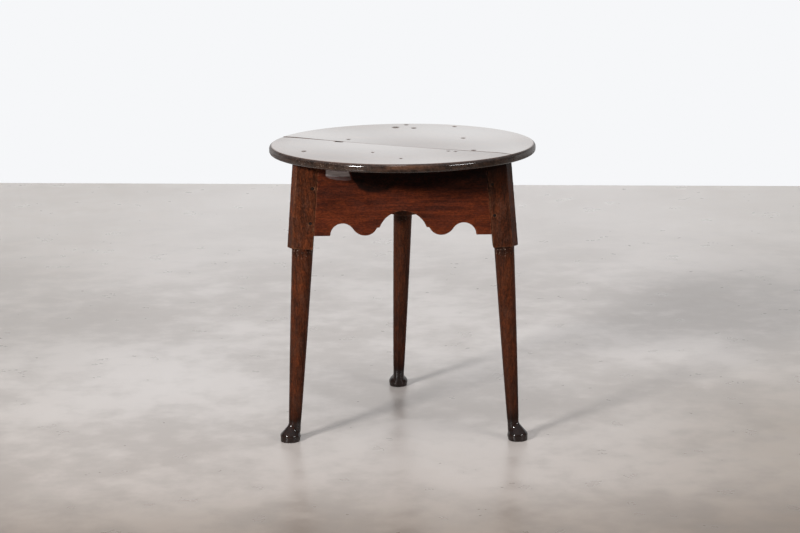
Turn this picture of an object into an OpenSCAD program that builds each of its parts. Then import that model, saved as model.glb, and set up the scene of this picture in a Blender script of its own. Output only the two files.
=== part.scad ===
// Cricket table: a round two-board top on three splayed legs, joined by three shaped friezes.
// Millimetres. +Z is up, the front frieze faces -Y, and the floor is Z = 0.
// The origin lies under the middle of the whole outline.

/* [Top] */
// Height of the table from the floor to the upper face of the top
table_h = 700; // [600:1:800]
// Diameter of the round top
top_d = 644; // [600:1:800]
// Thickness of the two boards of the top
top_t = 20; // [16:0.5:30]
// Radius worked on the upper edge of the rim
rim_upper_r = 8; // [3:0.5:9]
// Radius worked on the lower edge of the rim
rim_lower_r = 6; // [2:0.5:7]
// Turn of the line where the two boards meet, from the line of the front frieze
board_turn = -29; // [-45:1:45]
// Distance from the middle of the top to the line where the boards meet
board_offset = 44; // [0:1:60]
// Width of the open joint between the two boards
board_gap = 0.6; // [0.2:0.1:2]

/* [Friezes] */
// Distance from the middle of the table to the outer face of a frieze, just under the top
frieze_reach = 156.5; // [145:0.5:170]
// Outward lean of each frieze
frieze_lean = 2.6; // [1.5:0.1:3.5]
// Depth of a frieze from its upper edge to its flat lower edge, measured on its face
frieze_depth = 176; // [150:1:190]
// Thickness of a frieze
frieze_t = 20; // [18:0.5:24]

/* [Shaped lower edge] */
// Radius of the middle arch
arch_r = 58.5; // [52:0.5:64]
// Height of the middle arch above the flat edge
arch_rise = 58; // [40:0.5:60]
// Radius of each small side arch
side_arch_r = 29.5; // [20:0.5:31]
// Distance from the middle of the frieze to the middle of a side arch
side_arch_x = 143; // [140:0.5:150]
// Radius of the hanging lobe between the arches, on the side of the small arch
lobe_r = 34; // [30:0.5:38]
// Radius of the hanging lobe on the side of the middle arch
lobe_inner_r = 30; // [26:0.5:33]
// Distance from the middle of the frieze to the middle of a lobe
lobe_x = 89.5; // [85:0.5:95]
// Height of the small level step between a lobe and the middle arch
step_h = 19; // [12:0.5:22]

/* [Worn hollow] */
// Distance of the worn hollow from the middle of the front frieze, to the left
hollow_x = 151; // [120:1:160]
// Distance of the middle of the worn hollow below the upper edge of the frieze
hollow_drop = 18; // [10:1:40]
// Radius of the worn hollow's outline
hollow_r = 30; // [15:0.5:36]
// Depth of the worn hollow
hollow_depth = 3; // [1:0.5:5]

/* [Leg heads] */
// Height of a leg's five-sided head, from the top's underside to its shoulder
head_h = 208; // [195:1:230]
// Width of each outer face of the left leg's head
left_face_w = 50; // [44:0.5:54]
// Width of each outer face of the right leg's head
right_face_w = 46; // [44:0.5:54]
// Width of each outer face of the back leg's head
back_face_w = 48; // [44:0.5:54]
// Width of the flat along the outer corner of the left leg's head
left_flat_w = 23; // [18:0.5:32]
// Width of the flat along the outer corner of the right leg's head
right_flat_w = 29; // [18:0.5:32]
// Width of the flat along the outer corner of the back leg's head
back_flat_w = 26; // [18:0.5:32]

/* [Turned legs] */
// Distance from the middle of the table to the middle of a shaft at its shoulder
neck_reach = 276.5; // [270:0.5:282]
// Diameter of the left shaft at its shoulder
left_neck_d = 51; // [44:0.5:54]
// Diameter of the right shaft at its shoulder
right_neck_d = 48; // [44:0.5:54]
// Diameter of the back shaft at its shoulder
back_neck_d = 48; // [44:0.5:54]
// Diameter of the left shaft at its ankle
left_ankle_d = 30; // [24:0.5:34]
// Diameter of the right shaft at its ankle
right_ankle_d = 28; // [24:0.5:34]
// Diameter of the back shaft at its ankle
back_ankle_d = 29; // [24:0.5:34]
// How much fuller a shaft is at mid-height than a straight taper, on the radius
shaft_swell = 0.6; // [0:0.1:1.5]
// Height of the ankle above the floor
ankle_h = 45; // [38:0.5:55]

/* [Feet] */
// Distance from the middle of the table to the middle of the left foot, on the floor
left_foot_reach = 321; // [305:0.5:330]
// Distance from the middle of the table to the middle of the right foot, on the floor
right_foot_reach = 319.5; // [305:0.5:330]
// Distance from the middle of the table to the middle of the back foot, on the floor
back_foot_reach = 318; // [305:0.5:330]
// How far the right foot stands to the front of the line on which its leg's head leans out
right_foot_aside = 9.5; // [0:0.5:20]
// How far the back foot stands to the left of the table's middle line
back_foot_aside = 16; // [0:0.5:20]
// How far the foot is turned outward of the ankle, the toe of the pad foot
toe = 14; // [8:0.5:18]
// Widest diameter of a pad foot
pad_d = 50.5; // [46:0.5:56]
// Diameter of a pad foot where it rests on the floor
pad_base_d = 46; // [38:0.5:47]
// Height of the widest line of a pad foot
pad_widest_h = 13; // [9:0.5:14]
// Radius of the rim of a pad foot
pad_rim_r = 8; // [5:0.5:8]
// Height at which the instep of the foot runs out on the ankle
instep_h = 47; // [42:0.5:54]
// How far the instep is hollowed below a straight slope
instep_hollow = 0.5; // [0:0.25:4]

/* [Tenons] */
// Thickness of the tenons on the friezes
tenon_t = 9; // [6:0.5:10]
// Length of the tenons
tenon_l = 28; // [20:1:32]
// Distance from the outer face of a frieze to the near cheek of its tenons
tenon_setback = 5.5; // [4:0.5:7]
// Distance from the upper edge of a frieze to the upper edge of its tenons
tenon_drop = 31; // [31:1:50]
// Distance from the flat lower edge of a frieze to the lower edge of its tenons
tenon_rise = 12; // [5:1:20]

/* [Pegs] */
// Diameter of the pegs that lock the tenons
peg_d = 7.5; // [5:0.5:9]
// Length of the pegs that lock the tenons
peg_l = 28; // [24:0.5:30]
// Distance from the shoulder of a frieze to its pegs, along the leg's face
peg_setback = 9.5; // [8:0.5:14]
// Height of the lower pegs of the left and back legs above the flat edge of the friezes
peg_low = 30; // [24:0.5:50]
// Distance from the upper edge of the friezes to the upper pegs of the left and back legs
peg_high = 63; // [50:0.5:80]
// Height of the lower pegs of the right leg above the flat edge of the friezes
right_peg_low = 45; // [24:0.5:50]
// Distance from the upper edge of the friezes to the upper pegs of the right leg
right_peg_high = 57; // [50:0.5:80]
// Diameter of the pegs that hold the top down
top_peg_d = 8; // [5:0.5:10]
// Length of the pegs that hold the top down
top_peg_l = 44; // [35:0.5:48]
// Distance from the middle of the front frieze to its left top peg
front_peg_left = 72; // [40:1:100]
// Distance from the middle of the front frieze to its right top peg
front_peg_right = 115; // [90:1:150]
// Distance from the middle of the right frieze to its top peg, towards the back
right_peg_x = -22; // [-100:1:100]
// Distance from the middle of the left frieze to its top peg, towards the front
left_peg_x = 13; // [-60:1:100]
// Distance from the middle of the table to the top peg of each leg
head_peg_reach = 261; // [255:0.5:268]

/* [Fit] */
// Clearance round a peg, on the radius
peg_clearance = 0.1; // [0.05:0.05:0.3]
// Clearance round a tenon in its mortise, on each side
tenon_clearance = 0.2; // [0.1:0.05:0.4]
// Room left at the bottom of a mortise or of a peg's hole
end_room = 1.5; // [1:0.25:3]

/* [Hidden] */
$fn = 96;
// Overlap of cutting shapes past the faces that they cut
past = 1;
// Segments along a curved profile that is worked out by a formula
steps = 16;
// Sides of the circle that stands for the round rim of the top
rim_sides = 240;
// Turn from one leg to the next, and from one frieze to the next
third_turn = 120;
// Turn of the back leg about the middle of the table, from +X
back_turn = 90;
// Turn of the front frieze about the middle of the table
front_side = 0;
// Turn from a leg to the frieze that comes before it, going round
side_before = 30;
// Turn from a leg to the frieze that comes after it, going round
side_after = 150;
// Where the round side of a pad foot begins above its base, as an angle below the widest line
pad_low_angle = -30;
// Where the instep begins on the rim of a pad foot, as an angle above the widest line
pad_brow_angle = 58;
// Radius at which the instep runs out, inside the ankle
instep_tip_r = 2.5;
// Length of a shaft inside its head
neck_buried = 14;
// Bevel at the end of a shaft, inside the foot
heel_bevel = 3.5;

// Turn of the other legs about the middle of the table, from +X
left_turn = back_turn + third_turn;
right_turn = back_turn + 2 * third_turn;
// Turn of the other friezes, from the front one
right_side = front_side + third_turn;
left_side = front_side + 2 * third_turn;
// Height of the underside of the top
underside = table_h - top_t;
// Splay of the lines where neighbouring frieze faces would meet, at the legs' missing corners
splay = atan(2 * tan(frieze_lean));
// Half the angle between the two outer faces of a leg's head, square to its length
half_angle = atan(tan(30) / cos(splay));
// Distance from the middle of the table to a frieze's outer face, carried down to the floor
floor_reach = frieze_reach + underside * tan(frieze_lean);
// Distance from the middle of the table to a leg's missing corner, carried down to the floor
corner_reach = floor_reach / sin(30);
// Lean of a leg's missing corner within the face of a frieze
corner_lean = atan(sqrt(3) * sin(frieze_lean));
// Length up the face of a frieze from the floor to its upper edge
frieze_top = underside / cos(frieze_lean);
// Length up the face of a frieze from the floor to its flat lower edge
frieze_foot = frieze_top - frieze_depth;
// Height of the shoulder where a leg's head ends and its turned shaft begins
shoulder_h = underside - head_h;
// Width from a leg's missing corner to the frieze shoulders, along each outer face
left_head_w = left_face_w + left_flat_w / (2 * sin(half_angle));
right_head_w = right_face_w + right_flat_w / (2 * sin(half_angle));
back_head_w = back_face_w + back_flat_w / (2 * sin(half_angle));
// How far the outline of the back foot reaches from the middle of the top
back_outline = back_foot_reach + (pad_d / 2 - pad_rim_r) * cos(splay)
    - pad_widest_h * sin(splay) + pad_rim_r;
// Distance from the origin to the middle of the top, towards the front
outline_shift = (back_outline - top_d / 2) / 2;
// Height of a lobe's middle above the flat edge, at which the lobe runs smoothly into its side arch
lobe_h = sqrt(pow(side_arch_r + lobe_r, 2) - pow(side_arch_x - lobe_x, 2));
// Height of the middle of the lobe's inner curve above the flat edge
lobe_inner_h = lobe_h - lobe_r + lobe_inner_r;
// Slope of the line from the middle of a side arch up to the middle of its lobe
touch_angle = atan2(lobe_h, side_arch_x - lobe_x);
// Radius of the ball that scoops the worn hollow
hollow_ball_r = (pow(hollow_r, 2) + pow(hollow_depth, 2)) / (2 * hollow_depth);
// Distance from the middle of the table to the pegs over the friezes, mid-thickness
frieze_peg_reach = frieze_reach + (top_peg_l - top_t) / 2 * tan(frieze_lean) - frieze_t / 2;
// Heights of the pegs up the face of a frieze
peg_rows = [frieze_foot + peg_low, frieze_top - peg_high];
right_peg_rows = [frieze_foot + right_peg_low, frieze_top - right_peg_high];

// Points of an even bow from p to q, whose middle stands off the straight line by rise
function bow(p, q, rise) =
    let (side = [p.y - q.y, q.x - p.x] / norm(q - p))
    [for (i = [0:steps]) let (t = i / steps) p + (q - p) * t + side * 4 * rise * t * (1 - t)];

// Points of an arc round c, from angle a to angle b
function arc(c, r, a, b) =
    [for (i = [0:steps]) let (t = a + (b - a) * i / steps) c + r * [cos(t), sin(t)]];

// A list without its first entry
function rest(list) = [for (i = [1:len(list) - 1]) list[i]];

// Place of a frieze's shoulder at length z up its face, where it meets a head of width w
function shoulder_x(z, w) =
    sqrt(3) * floor_reach - z * tan(corner_lean) - w / cos(corner_lean);

// Puts the table over the origin
module placed() {
    translate([0, -outline_shift, 0]) children();
}

// Frame on the outer face of a frieze: X along it, Y into the wood, Z up the face
module on_frieze(turn) {
    rotate([0, 0, turn])
    translate([0, -floor_reach, 0])
    rotate([-frieze_lean, 0, 0])
    children();
}

// Stands a drawn outline up in a frieze's frame, from depth y0, t thick
module upright(y0, t) {
    translate([0, y0 + t, 0])
    rotate([90, 0, 0])
    linear_extrude(t)
    children();
}

// Everything between the floor and the underside of the top
module frame_space() {
    translate([-top_d, -top_d, 0]) cube([2 * top_d, 2 * top_d, underside]);
}

// The top

module rim_outline() {
    r = top_d / 2;
    translate([0, underside]) square([r - max(rim_upper_r, rim_lower_r), top_t]);
    translate([0, underside + rim_lower_r]) square([r, top_t - rim_lower_r - rim_upper_r]);
    translate([0, underside]) square([r - rim_lower_r, top_t / 2]);
    translate([0, underside + top_t / 2]) square([r - rim_upper_r, top_t / 2]);
    translate([r - rim_upper_r, table_h - rim_upper_r]) circle(rim_upper_r);
    translate([r - rim_lower_r, underside + rim_lower_r]) circle(rim_lower_r);
}

// The round top, kept on one side of the line where the boards meet
module round_top_half(side) {
    intersection() {
        rotate_extrude($fn = rim_sides) rim_outline();
        rotate([0, 0, board_turn])
        translate([-top_d, side > 0 ? board_gap / 2 - board_offset : -top_d, underside - past])
        cube([2 * top_d, side > 0 ? 2 * top_d : top_d - board_offset - board_gap / 2,
            top_t + 2 * past]);
    }
}

module top_board(side) {
    color("#6f5a50")
    placed()
    difference() {
        round_top_half(side);
        at_top_pegs() top_peg_hole();
    }
}

// Pegs that hold the top down

module at_top_pegs() {
    for (turn = [back_turn, left_turn, right_turn]) {
        rotate([0, 0, turn]) translate([head_peg_reach, 0, 0]) children();
    }
    for (x = [-front_peg_left, front_peg_right]) {
        translate([x, -frieze_peg_reach, 0]) children();
    }
    rotate([0, 0, right_side]) translate([-right_peg_x, -frieze_peg_reach, 0]) children();
    rotate([0, 0, left_side]) translate([left_peg_x, -frieze_peg_reach, 0]) children();
}

module top_peg_hole() {
    translate([0, 0, table_h - top_peg_l - end_room])
    cylinder(h = top_peg_l + end_room + past, d = top_peg_d + 2 * peg_clearance);
}

module top_pegs() {
    color("#3a2016")
    placed()
    at_top_pegs()
    translate([0, 0, table_h - top_peg_l])
    cylinder(h = top_peg_l, d = top_peg_d);
}

// Tenons and the pegs through them

// One end of a frieze on the side +1 or -1, where it meets a head of width w
module tenon_outline(side, w, grow, reach) {
    low = frieze_foot + tenon_rise - grow;
    high = frieze_top - tenon_drop + grow;
    polygon([
        [side * (shoulder_x(low, w) - reach), low],
        [side * (shoulder_x(low, w) + tenon_l), low],
        [side * (shoulder_x(high, w) + tenon_l), high],
        [side * (shoulder_x(high, w) - reach), high],
    ]);
}

module tenon(side, w) {
    upright(tenon_setback, tenon_t) tenon_outline(side, w, 0, tenon_l);
}

module mortise(side, w) {
    translate([side * end_room, 0, 0])
    upright(tenon_setback - tenon_clearance, tenon_t + 2 * tenon_clearance)
    tenon_outline(side, w, tenon_clearance, end_room + past);
}

// Places for the pegs at one end of a frieze, in the given rows, pointing into the wood
module at_joint_pegs(side, w, rows) {
    for (z = rows) {
        translate([side * (shoulder_x(z, w) + peg_setback), 0, z]) rotate([-90, 0, 0]) children();
    }
}

module joint_peg_holes(side, w, rows) {
    at_joint_pegs(side, w, rows)
    translate([0, 0, -past])
    cylinder(h = peg_l + end_room + past, d = peg_d + 2 * peg_clearance);
}

// The four pegs of a leg that stands at the given turn
module leg_pegs(turn, w, rows) {
    color("#2a1610")
    placed() {
        on_frieze(turn + side_before) at_joint_pegs(1, w, rows) cylinder(h = peg_l, d = peg_d);
        on_frieze(turn + side_after) at_joint_pegs(-1, w, rows) cylinder(h = peg_l, d = peg_d);
    }
}

// Friezes

// Right half of the shaped lower edge, from the crown of the middle arch to the flat
half_edge = concat(
    arc([0, arch_rise - arch_r], arch_r, 90, asin((step_h - arch_rise + arch_r) / arch_r)),
    arc([lobe_x, lobe_inner_h], lobe_inner_r,
        180 + asin((lobe_inner_h - step_h) / lobe_inner_r), 270),
    rest(arc([lobe_x, lobe_h], lobe_r, 270, 360 - touch_angle)),
    rest(arc([side_arch_x, 0], side_arch_r, 180 - touch_angle, 0))
);

// Outline of a frieze between heads of the given widths at its left and right ends
module frieze_outline(left_w, right_w) {
    over = frieze_top + past;
    last = len(half_edge) - 1;
    polygon(concat(
        [for (i = [last:-1:1]) [-half_edge[i].x, frieze_foot + half_edge[i].y]],
        [for (p = half_edge) [p.x, frieze_foot + p.y]],
        [
            [shoulder_x(frieze_foot, right_w), frieze_foot],
            [shoulder_x(over, right_w), over],
            [-shoulder_x(over, left_w), over],
            [-shoulder_x(frieze_foot, left_w), frieze_foot],
        ]
    ));
}

module frieze(turn, left_w, right_w, left_rows, right_rows) {
    color("#5a2c1c")
    placed()
    difference() {
        intersection() {
            on_frieze(turn) {
                upright(0, frieze_t) frieze_outline(left_w, right_w);
                tenon(-1, left_w);
                tenon(1, right_w);
            }
            frame_space();
        }
        on_frieze(turn) joint_peg_holes(-1, left_w, left_rows);
        on_frieze(turn) joint_peg_holes(1, right_w, right_rows);
        at_top_pegs() top_peg_hole();
        children();
    }
}

module worn_hollow() {
    on_frieze(front_side)
    translate([-hollow_x, hollow_depth - hollow_ball_r, frieze_top - hollow_drop])
    sphere(hollow_ball_r);
}

// Legs

// Section of a head, square to its length, with the missing corner at the origin
module head_section(face_w, flat_w) {
    c = flat_w / (2 * sin(half_angle));
    w = c + face_w;
    polygon([
        [-c * cos(half_angle), c * sin(half_angle)],
        [-w * cos(half_angle), w * sin(half_angle)],
        [-w / cos(half_angle), 0],
        [-w * cos(half_angle), -w * sin(half_angle)],
        [-c * cos(half_angle), -c * sin(half_angle)],
    ]);
}

// Half outline of a turned shaft, from inside the head down to the heel
module shaft_outline(length, neck_r, ankle_r) {
    heel = length + ankle_h - pad_widest_h - heel_bevel;
    polygon(concat(
        [[0, neck_buried], [neck_r, neck_buried]],
        [for (i = [0:steps]) let (t = i / steps)
            [neck_r + (ankle_r - neck_r) * t + shaft_swell * sin(180 * t), -length * t]],
        [[ankle_r, heel_bevel - heel], [ankle_r - heel_bevel, -heel], [0, -heel]]
    ));
}

// Half outline of a pad foot: base, rim, and the instep that rises to the ankle
module pad_outline() {
    rim = [pad_d / 2 - pad_rim_r, pad_widest_h];
    brow = rim + pad_rim_r * [cos(pad_brow_angle), sin(pad_brow_angle)];
    tip = [instep_tip_r, instep_h];
    polygon(concat(
        [[0, -pad_rim_r], [pad_base_d / 2, -pad_rim_r], [pad_base_d / 2, 0]],
        arc(rim, pad_rim_r, pad_low_angle, pad_brow_angle),
        rest(bow(brow, tip, instep_hollow)),
        [[0, instep_h]]
    ));
}

// A whole leg, drawn with the way outward along +X: head, shaft and offset foot
module leg_shape(face_w, flat_w, neck_d, ankle_d, foot_reach, aside) {
    neck = [neck_reach, 0, shoulder_h];
    ankle = [foot_reach - toe, aside * (shoulder_h - ankle_h) / shoulder_h, ankle_h];
    rise = neck - ankle;
    length = norm(rise);
    difference() {
        translate([corner_reach, 0, 0])
        rotate([0, -splay, 0])
        linear_extrude(table_h / cos(splay))
        head_section(face_w, flat_w);
        translate(neck)
        rotate([0, acos(rise.z / length), atan2(rise.y, rise.x)])
        translate([-table_h / 2, -table_h / 2, -table_h])
        cube(table_h);
    }
    translate(neck)
    rotate([0, acos(rise.z / length), atan2(rise.y, rise.x)])
    rotate_extrude()
    shaft_outline(length, neck_d / 2, ankle_d / 2);
    translate([foot_reach, aside, 0])
    rotate([0, -splay, 0])
    rotate_extrude()
    pad_outline();
}

module leg(turn, face_w, flat_w, neck_d, ankle_d, foot_reach, aside, rows) {
    w = face_w + flat_w / (2 * sin(half_angle));
    color("#4a2418")
    placed()
    difference() {
        intersection() {
            rotate([0, 0, turn])
            leg_shape(face_w, flat_w, neck_d, ankle_d, foot_reach, aside);
            frame_space();
        }
        on_frieze(turn + side_before) {
            mortise(1, w);
            joint_peg_holes(1, w, rows);
        }
        on_frieze(turn + side_after) {
            mortise(-1, w);
            joint_peg_holes(-1, w, rows);
        }
        at_top_pegs() top_peg_hole();
    }
}

module top_front_board() {
    top_board(-1);
}

module top_back_board() {
    top_board(1);
}

module front_frieze() {
    frieze(front_side, left_head_w, right_head_w, peg_rows, right_peg_rows) worn_hollow();
}

module right_frieze() {
    frieze(right_side, right_head_w, back_head_w, right_peg_rows, peg_rows);
}

module left_frieze() {
    frieze(left_side, back_head_w, left_head_w, peg_rows, peg_rows);
}

module left_leg() {
    leg(left_turn, left_face_w, left_flat_w, left_neck_d, left_ankle_d, left_foot_reach, 0,
        peg_rows);
}

module right_leg() {
    leg(right_turn, right_face_w, right_flat_w, right_neck_d, right_ankle_d, right_foot_reach,
        -right_foot_aside, right_peg_rows);
}

module back_leg() {
    leg(back_turn, back_face_w, back_flat_w, back_neck_d, back_ankle_d, back_foot_reach,
        back_foot_aside, peg_rows);
}

module left_leg_pegs() {
    leg_pegs(left_turn, left_head_w, peg_rows);
}

module right_leg_pegs() {
    leg_pegs(right_turn, right_head_w, right_peg_rows);
}

module back_leg_pegs() {
    leg_pegs(back_turn, back_head_w, peg_rows);
}

top_front_board();
top_back_board();
front_frieze();
right_frieze();
left_frieze();
left_leg();
right_leg();
back_leg();
left_leg_pegs();
right_leg_pegs();
back_leg_pegs();
top_pegs();
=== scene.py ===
# %% [markdown]
# # A cricket table in old waxed wood
# A cricket table is a round country side table on three splayed legs. This notebook dresses its
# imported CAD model: finer skins with worn arrises, old wood, a photographed camera and soft light.
# Everything is in metres, in the CAD model's own frame: the front frieze faces -Y and Z is up.

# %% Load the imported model
from math import cos, pi, radians, sin

import bmesh
import bpy
import numpy as np
from mathutils import Matrix, Vector


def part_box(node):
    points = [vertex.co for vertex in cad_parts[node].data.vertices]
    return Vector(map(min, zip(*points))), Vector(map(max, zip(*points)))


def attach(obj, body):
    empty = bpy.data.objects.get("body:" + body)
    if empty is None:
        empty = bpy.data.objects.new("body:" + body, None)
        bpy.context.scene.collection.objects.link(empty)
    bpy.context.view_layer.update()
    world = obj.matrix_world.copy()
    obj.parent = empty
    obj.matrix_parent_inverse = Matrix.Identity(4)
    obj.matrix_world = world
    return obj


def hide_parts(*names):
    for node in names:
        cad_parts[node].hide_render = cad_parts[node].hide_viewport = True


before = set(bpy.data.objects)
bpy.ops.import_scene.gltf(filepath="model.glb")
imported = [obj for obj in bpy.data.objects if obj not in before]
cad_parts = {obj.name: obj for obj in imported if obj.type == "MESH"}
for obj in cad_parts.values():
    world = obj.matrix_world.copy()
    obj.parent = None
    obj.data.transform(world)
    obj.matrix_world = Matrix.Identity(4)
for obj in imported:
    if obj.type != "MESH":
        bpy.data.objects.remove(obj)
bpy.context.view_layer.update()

# %% [markdown]
# ## The camera
# The real photograph was taken from 4.7 m away and 1.44 m up, with a long lens that looks slightly
# down. Three angles could be guessed by eye, but a camera solved from the round top and the feet
# puts every edge where the photograph has it, so its solved values are simply named here.

# %% Camera
camera_place = Vector((-0.0085, -4.7014, 1.4376))
camera_down = radians(12.5568)
camera_roll = radians(0.5699)
lens_mm = 88.139
sensor_mm = 36


def into_scene(name, data):
    """A new object in the scene, at the origin."""
    made = bpy.data.objects.new(name, data)
    bpy.context.scene.collection.objects.link(made)
    return made


def photograph_camera():
    """A camera that looks along +Y, tipped down and rolled a little."""
    camera = into_scene("camera", bpy.data.cameras.new("camera"))
    camera.data.lens = lens_mm
    camera.data.sensor_width = sensor_mm
    tip = Matrix.Rotation(pi / 2 - camera_down, 4, "X")
    roll = Matrix.Rotation(-camera_roll, 4, "Z")
    camera.matrix_world = Matrix.Translation(camera_place) @ tip @ roll
    return camera


bpy.context.scene.camera = photograph_camera()
bpy.context.scene.view_settings.view_transform = "Standard"
print("camera at", tuple(camera_place))

# %% [markdown]
# ## Wiring materials in code
# A node material can be clicked together, but code repeats it exactly. Small helpers keep the
# wiring short: one turns a screen colour into the linear numbers that a shader reads, one adds a
# node and fills its sockets, and the others are the few nodes that every finish here needs.


# %% Helpers for node trees
def paint(red, green, blue):
    """A screen colour, 0 to 255, as the linear colour that a shader reads."""
    def linear(value):
        share = value / 255
        return share / 12.92 if share <= 0.04045 else ((share + 0.055) / 1.055) ** 2.4

    return (linear(red), linear(green), linear(blue), 1)


def add(tree, kind, sockets=None, **settings):
    """A new node. A socket takes a number, a colour or another node's output."""
    made = tree.nodes.new(kind)
    for name, value in settings.items():
        setattr(made, name, value)
    for key, value in (sockets or {}).items():
        if isinstance(value, bpy.types.NodeSocket):
            tree.links.new(value, made.inputs[key])
        else:
            made.inputs[key].default_value = value
    return made


def maths(tree, operation, first, second=0.0, clamp=False):
    """The result of one Math node."""
    made = add(tree, "ShaderNodeMath", {0: first, 1: second}, operation=operation, use_clamp=clamp)
    return made.outputs[0]


def times(tree, first, second):
    """One value times another."""
    return maths(tree, "MULTIPLY", first, second)


def blend(tree, share, under, over, way="MIX"):
    """Two colours mixed by a share from 0 to 1."""
    made = add(tree, "ShaderNodeMix", {0: share, 6: under, 7: over}, data_type="RGBA", blend_type=way)
    return made.outputs[2]


def ramp(tree, value, low, high, to_low=0.0, to_high=1.0):
    """A value stretched from the range low to high, smooth at both ends."""
    numbers = {0: value, 1: low, 2: high, 3: to_low, 4: to_high}
    made = add(tree, "ShaderNodeMapRange", numbers, interpolation_type="SMOOTHSTEP")
    return made.outputs[0]


def cloud(tree, place, scale, detail=3.0, rough=0.55):
    """A three-dimensional noise, read at a place."""
    numbers = {"Vector": place, "Scale": scale, "Detail": detail, "Roughness": rough}
    return add(tree, "ShaderNodeTexNoise", numbers).outputs[0]


def stretched(tree, place, along):
    """The place with its first axis, which runs with the grain, drawn out by a factor."""
    shape = (1 / along, 1, 1)
    return add(tree, "ShaderNodeVectorMath", {0: place, 1: shape}, operation="MULTIPLY").outputs[0]


def wear(tree, name):
    """A number that the mesh carries at each point, such as how worn it is."""
    return add(tree, "ShaderNodeAttribute", attribute_name=name).outputs["Fac"]


def new_material(name):
    """An empty material with its Principled shader, ready to wire."""
    material = bpy.data.materials.new(name)
    material.use_nodes = True
    tree = material.node_tree
    return material, tree, tree.nodes["Principled BSDF"]


print("screen grey 128 is linear", round(paint(128, 128, 128)[0], 3))

# %% [markdown]
# ## A room of plain light
# The table stood on pale polished concrete in front of a white wall, lit by soft lamps from the
# front left, the front right and above. The floor's clouds are noise at two sizes. Slow ramps paint
# light and shade into its colour: painted light makes it lighter towards the wall, and painted shade
# makes it darker towards the front, the right, both sides and far in front of the table. A photograph
# of concrete would repeat, while noise never does.

# %% Floor
floor_half = 7.0


def flat(name, corners):
    """One plain face through the given corners, as part of the stage."""
    mesh = bpy.data.meshes.new(name)
    mesh.from_pydata([tuple(c) for c in corners], [], [tuple(range(len(corners)))])
    made = into_scene(name, mesh)
    return made


def floor_material():
    """Pale concrete with soft cloudy tones, painted light and shade, and a worn polish."""
    material, tree, shader = new_material("pale_floor")
    place = add(tree, "ShaderNodeTexCoord").outputs["Object"]
    broad = cloud(tree, place, 1.3, 5, 0.6)
    fine = cloud(tree, place, 9, 4, 0.6)
    tone = maths(tree, "ADD", times(tree, broad, 0.6), times(tree, fine, 0.4))
    colour = blend(tree, ramp(tree, tone, 0.41, 0.59), paint(174, 167, 162), paint(202, 196, 192))
    along = add(tree, "ShaderNodeSeparateXYZ", {0: place}).outputs
    x, y = along["X"], along["Y"]
    # Painted light: the floor is lighter towards the wall, as if the wall lit it.
    painted_wall_light = times(tree, ramp(tree, y, 1.0, 3.0), 0.7)
    colour = blend(tree, painted_wall_light, colour, paint(219, 214, 210))
    # Painted shade: the tints below darken the floor towards the front, the near right and both sides.
    right_near = times(tree, ramp(tree, x, 0.2, 1.1), ramp(tree, y, 0.9, -0.2))
    darker = (
        (ramp(tree, y, 0.5, -1.0), paint(221, 214, 208)),
        (ramp(tree, y, -0.45, -0.85), paint(214, 209, 203)),
        (right_near, paint(208, 201, 192)),
        (ramp(tree, x, 0.7, 1.4), paint(244, 243, 241)),
        (ramp(tree, x, -0.6, -1.3), paint(238, 236, 233)),
    )
    for share, tint in darker:
        colour = blend(tree, share, colour, tint, "MULTIPLY")
    # Painted shade far in front of the table.
    colour = blend(tree, ramp(tree, y, -1.5, -6.0), colour, paint(140, 135, 130))
    tree.links.new(colour, shader.inputs["Base Color"])
    tree.links.new(ramp(tree, fine, 0.3, 0.7, 0.27, 0.39), shader.inputs["Roughness"])
    shader.inputs["Specular IOR Level"].default_value = 0.4
    return material


corners = [(x * floor_half, y * floor_half, 0) for x, y in ((-1, -1), (1, -1), (1, 1), (-1, 1))]
floor = flat("floor", corners)
floor.data.materials.append(floor_material())
print("floor", 2 * floor_half, "m across")

# %% [markdown]
# The wall only has to look white. Its material is plain paint for light that scatters, and an even
# glow of strength 1 for the camera and for reflections, which is how a lit white wall would look.
# So it throws no light of its own, and the old wood keeps its real darkness. It is see-through
# from behind, for the views from the back.

# %% Wall
wall_reach = 3.31
wall_turn = radians(-4.5)
wall_height = 2.1
seen_white = paint(246, 247, 249)


def wall_material():
    """White to the camera and to reflections, plain paint to scattered light, nothing from behind."""
    material, tree, shader = new_material("white_wall")
    shader.inputs["Base Color"].default_value = paint(226, 226, 228)
    shader.inputs["Roughness"].default_value = 0.9
    path = add(tree, "ShaderNodeLightPath").outputs
    direct = maths(tree, "MAXIMUM", path["Is Camera Ray"], path["Is Glossy Ray"])
    seen = maths(tree, "MAXIMUM", direct, path["Is Transmission Ray"])
    tint = blend(tree, path["Is Camera Ray"], (1, 1, 1, 1), seen_white)
    glow = add(tree, "ShaderNodeEmission", {"Color": tint, "Strength": 1.0})
    front = add(tree, "ShaderNodeMixShader", {0: seen, 1: shader.outputs[0], 2: glow.outputs[0]})
    behind = add(tree, "ShaderNodeNewGeometry").outputs["Backfacing"]
    clear = add(tree, "ShaderNodeBsdfTransparent").outputs[0]
    both = add(tree, "ShaderNodeMixShader", {0: behind, 1: front.outputs[0], 2: clear})
    tree.links.new(both.outputs[0], tree.nodes["Material Output"].inputs["Surface"])
    return material


slant = Matrix.Rotation(wall_turn, 3, "Z")
foot_left = slant @ Vector((-floor_half, wall_reach, 0))
foot_right = slant @ Vector((floor_half, wall_reach, 0))
up = Vector((0, 0, wall_height))
wall = flat("wall", [foot_left, foot_right, foot_right + up, foot_left + up])
wall.data.materials.append(wall_material())
print("wall foot from", foot_left.to_tuple(2), "to", foot_right.to_tuple(2))

# %% [markdown]
# Two soft lamps give the photograph's crossed shadows, and a small high one lights the insteps of
# the feet. Each is a rectangle placed by its turn from the front, its height angle and its
# distance, because that is how one places a lamp round an object. The sky fills the shadows,
# brighter overhead than at the horizon.

# %% Lamps and sky
lamp_aim = Vector((0, 0, 0.4))


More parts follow.
